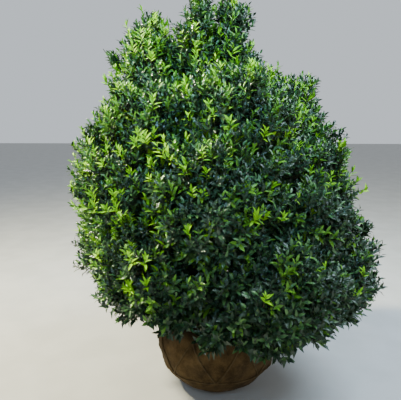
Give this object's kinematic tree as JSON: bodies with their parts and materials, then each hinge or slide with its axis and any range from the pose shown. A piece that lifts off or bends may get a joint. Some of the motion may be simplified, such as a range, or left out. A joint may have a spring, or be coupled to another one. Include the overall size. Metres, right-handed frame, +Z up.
{
  "type": "balled and burlapped holly shrub",
  "caption": "Large dense evergreen holly, pear-shaped and leafy to near the ground, with upright leaders at the top, standing on a round root ball wrapped in burlap and laced with twine",
  "frame": {"origin": "Middle of the flat underside of the root ball, on the ground", "axes": "+Z up along the plant, -Y towards the viewer of the picture, +X to the viewer's right"},
  "size_m": [1.8633, 1.7886, 2.3503],
  "materials": {
    "burlap": "matte",
    "twine": "matte",
    "cloth": "matte",
    "bark": "matte",
    "leaves": "satin"
  },
  "bodies": {
    "root": {"root_ball": "burlap", "ball_twine": "twine", "burlap_collar": "cloth", "trunk": "bark", "bough_skirt_1": "bark", "bough_skirt_2": "bark", "bough_skirt_3": "bark", "bough_skirt_4": "bark", "bough_skirt_5": "bark", "bough_skirt_6": "bark", "bough_middle_1": "bark", "bough_middle_2": "bark", "bough_middle_3": "bark", "bough_middle_4": "bark", "bough_middle_5": "bark", "bough_middle_6": "bark", "bough_upper_1": "bark", "bough_upper_2": "bark", "bough_upper_3": "bark", "bough_upper_4": "bark", "bough_upper_5": "bark", "bough_leader_left": "bark", "bough_leader_right": "bark", "bough_leader_back": "bark", "foliage_skirt_1": "leaves", "foliage_skirt_2": "leaves", "foliage_skirt_3": "leaves", "foliage_skirt_4": "leaves", "foliage_skirt_5": "leaves", "foliage_skirt_6": "leaves", "foliage_middle_1": "leaves", "foliage_middle_2": "leaves", "foliage_middle_3": "leaves", "foliage_middle_4": "leaves", "foliage_middle_5": "leaves", "foliage_middle_6": "leaves", "foliage_upper_1": "leaves", "foliage_upper_2": "leaves", "foliage_upper_3": "leaves", "foliage_upper_4": "leaves", "foliage_upper_5": "leaves", "foliage_leader_left": "leaves", "foliage_leader_middle": "leaves", "foliage_leader_right": "leaves", "foliage_leader_back": "leaves"}
  },
  "joints": []
}
